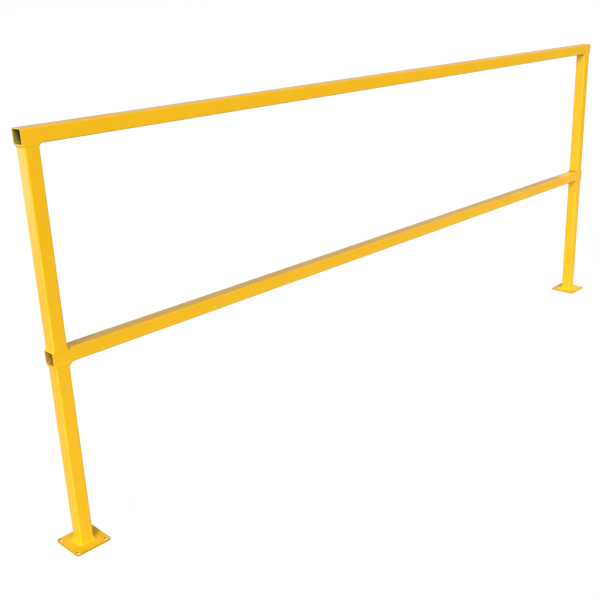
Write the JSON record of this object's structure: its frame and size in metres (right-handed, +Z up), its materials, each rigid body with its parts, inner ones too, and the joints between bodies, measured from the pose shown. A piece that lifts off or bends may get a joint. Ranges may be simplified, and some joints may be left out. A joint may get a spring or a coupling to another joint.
{
  "type": "industrial guard rail",
  "caption": "Straight welded square tube guard rail with a top rail, a mid rail and posts on bolt-down base plates.",
  "frame": {"origin": "on the floor, midway between the rail ends: the centre of the bounding box's bottom face", "axes": "+X along the rails towards the right-hand post, -Y the front, +Z up"},
  "size_m": [2.6462, 0.1016, 1.0668],
  "materials": {
    "rail_coat": "semi-gloss powder coat",
    "post_coat": "semi-gloss powder coat",
    "plate_coat": "semi-gloss powder coat",
    "weld_coat": "semi-gloss powder coat over a weld bead"
  },
  "bodies": {
    "root": {"top_rail": "rail_coat", "mid_rail": "rail_coat", "left_upper_post": "post_coat", "left_lower_post": "post_coat", "right_upper_post": "post_coat", "right_lower_post": "post_coat", "left_base_plate": "plate_coat", "right_base_plate": "plate_coat", "left_top_rail_weld": "weld_coat", "left_over_mid_rail_weld": "weld_coat", "left_under_mid_rail_weld": "weld_coat", "left_base_weld": "weld_coat", "right_top_rail_weld": "weld_coat", "right_over_mid_rail_weld": "weld_coat", "right_under_mid_rail_weld": "weld_coat", "right_base_weld": "weld_coat"}
  },
  "joints": []
}
